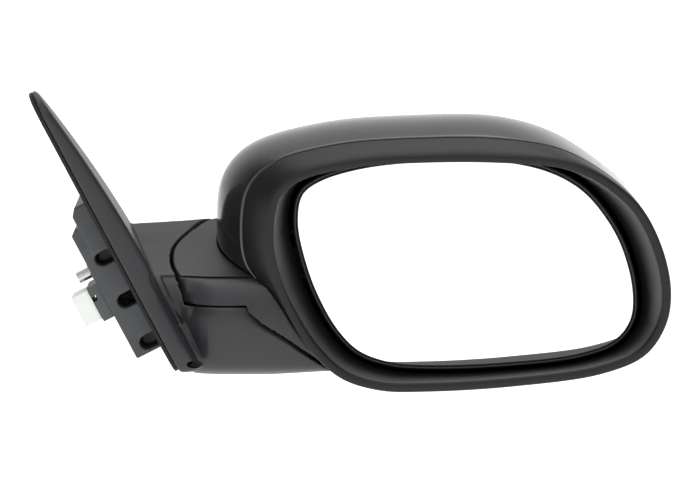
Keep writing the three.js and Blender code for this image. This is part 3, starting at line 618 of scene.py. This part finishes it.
def side_shade(tree):
    """The sky's strength: dark screens high at the left and right, white ahead and at the skyline."""
    direction = tree.nodes.new("ShaderNodeTexCoord").outputs["Generated"]
    split = tree.nodes.new("ShaderNodeSeparateXYZ")
    tree.links.new(direction, split.inputs["Vector"])
    across = add_node(tree, "ShaderNodeMath", operation="ABSOLUTE")
    tree.links.new(split.outputs["X"], across.inputs[0])
    screens = map_range(tree, across.outputs[0], 0.3, 0.75, 0.9, 0.08)
    ahead = map_range(tree, split.outputs["Y"], 0.1, 0.6, 0, 1)
    skyline = map_range(tree, split.outputs["Z"], 0.06, 0.14, 1, 0)
    white = add_node(tree, "ShaderNodeMath", operation="MAXIMUM")
    tree.links.new(ahead, white.inputs[0])
    tree.links.new(skyline, white.inputs[1])
    blend = tree.nodes.new("ShaderNodeMix")
    blend.inputs[3].default_value = 1.0
    tree.links.new(white.outputs[0], blend.inputs[0])
    tree.links.new(screens, blend.inputs[2])
    return blend.outputs[0]


def add_studio():
    middle = (0.13, 0.03, 0)
    add_light("top_softbox", (0.1, 0.1, 1.6), middle, (1.6, 1.2), 11)
    add_light("rear_top_softbox", (0.0, -1.2, 1.5), middle, (1.6, 1.0), 5)
    world = bpy.data.worlds.new("studio")
    world.use_nodes = True
    background = world.node_tree.nodes["Background"]
    background.inputs["Color"].default_value = (1, 1, 1, 1)
    world.node_tree.links.new(side_shade(world.node_tree), background.inputs["Strength"])
    bpy.context.scene.world = world
    bpy.context.scene.view_settings.view_transform = "Standard"
    floor = box_piece("floor", (-20000, -20000, -180), (20000, 20000, -170))
    material = moulded("pale_floor", (0.86, 0.86, 0.86), 0.9, shade_by=0.005, specular=0.1)
    glow = material.node_tree.nodes["Principled BSDF"]
    glow.inputs["Emission Color"].default_value = (1, 1, 1, 1)
    glow.inputs["Emission Strength"].default_value = 0.6
    floor.data.materials.append(material)


# ---------------------------------------------------------------- the head
def outwards(ring, distance):
    """A ring across y, grown outwards by a distance."""
    flat = grow(ring[:, [0, 2]], distance)
    return np.stack([flat[:, 0], ring[:, 1], flat[:, 1]], 1)


def glass_loop_grown(distance, y):
    return at_y(grow(glass_loop, distance), y)


def mixed(a, b, share):
    return a + (b - a) * share


def funnel_rings():
    """The bezel's funnel: its lip and throat in front, and the same two behind its wall."""
    lip = at_y(head_loop(CREST_Y + 1.2, 5.2), CREST_Y + 1.2)
    throat = glass_loop_grown(APERTURE_RIM, GLASS_Y + 5)
    inner_lip = outwards(mixed(lip, throat, 0.14), 1.8)
    throat_back = glass_loop_grown(APERTURE_RIM + APERTURE_WALL, GLASS_Y + 5)
    return lip, throat, inner_lip, throat_back


def build_cap():
    """The painted cap: a dome with a rolled edge at the seam, open where the neck and the notch are."""
    edge = [(SEAM_Y + 0.5, 0.0), (SEAM_Y + 0.1, 0.03), (SEAM_Y, 0.12)]
    outer = [at_y(head_loop(y, inset), y) for y, inset in reversed(edge)]
    outer += head_rings(0, SEAM_Y + 1.6, 52)
    cap = loft("cap", outer)
    combine(cap, head_solid("inside", WALL, SEAM_Y - 3, 30), "DIFFERENCE")
    combine(cap, notch_liner("liner"), "UNION")
    combine(cap, notch("swept"), "DIFFERENCE")
    inner_lip, throat_back = funnel_rings()[2:]
    mouth = glass_loop_grown(APERTURE_RIM + APERTURE_WALL + GAP, GLASS_Y + 5 + GAP)
    funnel = loft("funnel", [outwards(inner_lip, GAP), outwards(throat_back, GAP), mouth])
    combine(cap, funnel, "DIFFERENCE")
    combine(cap, neck_form("neck_inside", WALL + GAP), "DIFFERENCE")
    shade(cap)
    return finished(cap, "head", MATERIALS["gloss_black"], "gloss_black", "painted_cap")


def build_bezel():
    """The bezel: a side wall, a flat crest with crisp edges, then a funnel that falls to the glass."""
    seam = SEAM_Y - SEAM_GAP
    outside = [
        (seam, 0.5), (seam - 0.1, 0.2), (seam - 0.4, 0), (seam - 1, 0), (-21, 0), (-24, 0), (-27, 0),
        (-28.8, 0.25), (-29.6, 0.7), (CREST_Y, 1.4), (CREST_Y, 2.6), (CREST_Y + 0.1, 4.0),
        (CREST_Y + 0.5, 4.8),
    ]
    rings = [at_y(head_loop(y, inset), y) for y, inset in outside]
    lip, throat, inner_lip, back = funnel_rings()
    rings.append(lip)
    rings += [mixed(lip, throat, share) for share in (0.08, 0.3, 0.55, 0.75, 0.93, 0.99)]
    rings += [throat, back]
    rings += [mixed(back, inner_lip, share) for share in (0.05, 0.5)]
    rings += [inner_lip, at_y(head_loop(seam, WALL), seam)]
    bezel = frame_loop("bezel", rings)
    subdivide(bezel, 1)
    shade(bezel, 50)
    # Its material is darker than the slot's textured black: partly its satin finish, partly painted shade.
    return finished(bezel, "head", SHADED_SATIN_BEZEL, "textured_black", "housing_bezel")


def build_glass():
    """The glass: slightly convex, with a ground edge."""
    middle = glass_loop.mean(axis=0)
    front = []
    for share in (0.02, 0.15, 0.3, 0.45, 0.6, 0.72, 0.83, 0.92, 1.0):
        loop = middle + (grow(glass_loop, -0.7) - middle) * share
        front.append(at_y(loop, GLASS_Y - GLASS_BULGE * (1 - share**2)))
    profile = [(-0.15, GLASS_Y + 0.45), (0, GLASS_Y + 0.9), (0, GLASS_Y + GLASS_T)]
    edge = [glass_loop_grown(distance, y) for distance, y in profile]
    glass = loft("glass", front + edge)
    shade(glass, 25)
    return finished(glass, "glass", MATERIALS["mirror_glass"], "mirror_glass", "mirror_glass")


def build_carrier():
    """The glass's carrier: a rounded rim proud of the glass's edge, on a shallow tray."""
    top = GLASS_Y + 0.1
    floor = GLASS_Y + GLASS_T + 1.4
    profile = [
        (0.3, floor), (0.3, top + 1.2), (0.35, top + 0.4), (0.8, top), (1.3, top + 0.05), (1.8, top + 0.5),
        (CARRIER_RIM, top + 1.2), (CARRIER_RIM, floor + 1.5), (1.2, floor + 2.1), (-3, floor + 2.2),
        (-3, floor),
    ]
    carrier = frame_loop("carrier_rim", [glass_loop_grown(distance, y) for distance, y in profile])
    tray = loft("tray", [glass_loop_grown(-2.9, y) for y in (floor + 0.02, floor + 2.18)])
    combine(carrier, tray, "UNION")
    shade(carrier, 50)
    return finished(carrier, "glass", MATERIALS["inner_black"], "inner_black", "glass_carrier")


# ---------------------------------------------------------------- neck, arm and sail
STEP_Z = -10.4  # the rear face of neck and arm is set in below this height
STEP_FADE = 16  # the step runs out over this length
SAIL_FRONT = 14.2  # outboard of this, in seat coordinates, the arm is clear of the sail
CHANNEL_LOW = (11.5, -20, -46)  # the channel's corners on the seat: w, v, z
CHANNEL_HIGH = (SAIL_FRONT, 13.4, -14)
DRAIN_AT = (39.5, 6, -54.5)
DRAIN_TILT = math.radians(80)  # from upright
DRAIN_OVAL = (3.8, 1.9)  # half width and half height


def set_in(piece, low, high, step):
    """Sets the rear face in below the step, from x = low to high, where it runs out."""
    def depth(x):
        return step * float(np.clip((high - x) / STEP_FADE, 0.02, 1))

    skin = box_piece("step", (low, POST[1] - 60, POST[2] - 75), (high, POST[1] - 6, STEP_Z))
    combine(skin, arm_form("step_floor", low - 4, high + 6, depth), "DIFFERENCE")
    combine(skin, outboard_of("clear_of_sail", SAIL_FRONT), "INTERSECT")
    return combine(piece, skin, "DIFFERENCE")


def channel(cover):
    """The hollow between sail and arm, down the arm's rear corner."""
    across, forward, up = zip(CHANNEL_LOW, CHANNEL_HIGH)
    corners = [to_world(w, v, z) for w in across for v in forward for z in up]
    return combine(cover, new_piece("channel", corners, BOX_FACES), "DIFFERENCE")


def build_neck():
    """The neck: the arm's form above the turning surface, trimmed along the head."""
    neck = neck_form("neck", 0)
    combine(neck, neck_form("neck_hollow", WALL), "DIFFERENCE")
    combine(neck, head_solid("head_clear", -GAP, CREST_Y - 1, 60), "DIFFERENCE")
    combine(neck, post_bar("shaft_hole", 16, -40, -14), "DIFFERENCE")
    largest_part(neck)
    remesh(neck, 0.55, 3, share=0.5)
    set_in(neck, POST[0] - 34, 82, 0.9)
    largest_part(neck)
    shade(neck, 60)
    return finished(neck, "head", MATERIALS["textured_black"], "textured_black", "neck_housing")


def largest_part(piece):
    """Drops the slivers that cutting leaves beside the main part."""
    bm = bmesh.new()
    bm.from_mesh(piece.data)
    unseen = set(bm.verts)
    parts = []
    while unseen:
        stack = [unseen.pop()]
        part = list(stack)
        while stack:
            for edge in stack.pop().link_edges:
                for vert in edge.verts:
                    if vert in unseen:
                        unseen.remove(vert)
                        stack.append(vert)
                        part.append(vert)
        parts.append(part)
    parts.sort(key=len)
    for part in parts[:-1]:
        bmesh.ops.delete(bm, geom=part, context="VERTS")
    bm.to_mesh(piece.data)
    bm.free()


def drain_hole(cover):
    """A small oval hole through the wall at the foot of the arm, on its rear side."""
    bar = turned("recess", [(0.01, -9), (1, -9), (1, 9), (0.01, 9)], (0, 0, 0), 48)
    place = Matrix.Translation(Vector(DRAIN_AT) * MM)
    bar.data.transform(place @ Matrix.Rotation(DRAIN_TILT, 4, "X") @ Matrix.Diagonal((*DRAIN_OVAL, 1, 1)))
    combine(cover, bar, "DIFFERENCE")


def build_base_cover():
    """Arm and sail in one moulding, with small fillets between them, cut back round the neck."""
    cover = combine(arm_form("cover", -28, 116), outboard_of("outboard", 5), "INTERSECT")
    combine(cover, sail_form("sail", 0, COVER_W, 0), "UNION")
    channel(cover)
    remesh(cover, 0.9, 3)
    set_in(cover, 17, 46, 1.3)
    combine(cover, neck_sweep("sweep", FOLD_GAP), "DIFFERENCE")
    hollow = combine(arm_form("hollow", -27.4, 107, WALL), outboard_of("outboard", 5 + WALL), "INTERSECT")
    combine(hollow, sail_form("sail_hollow", WALL, COVER_W - 1.5, WALL), "UNION")
    combine(hollow, neck_sweep("sweep_wall", FOLD_GAP + WALL), "DIFFERENCE")
    largest_part(hollow)
    combine(cover, hollow, "DIFFERENCE")
    combine(cover, post_bar("floor_hole", 16, -40, 0), "DIFFERENCE")
    largest_part(cover)
    remesh(cover, 0.7, 2, share=0.4)
    drain_hole(cover)
    largest_part(cover)
    shade(cover, 60)
    return finished(cover, "base", MATERIALS["textured_black"], "textured_black", "base_cover")


def build_bracket():
    """The CAD's bracket with its moulded edges rounded."""
    bracket = bpy.data.objects.new("bracket", frame["nodes"]["mount_bracket"].data.copy())
    bracket.matrix_world = frame["nodes"]["mount_bracket"].matrix_world
    bpy.context.scene.collection.objects.link(bracket)
    remesh(bracket, 0.7, 4, share=0.5)
    shade(bracket, 60)
    return finished(bracket, "base", MATERIALS["bracket_grey"], "bracket_grey", "mount_bracket")


dress_cad_nodes()
build_cap()
build_bezel()
build_glass()
build_carrier()
build_neck()
build_base_cover()
build_bracket()
add_camera()
add_studio()
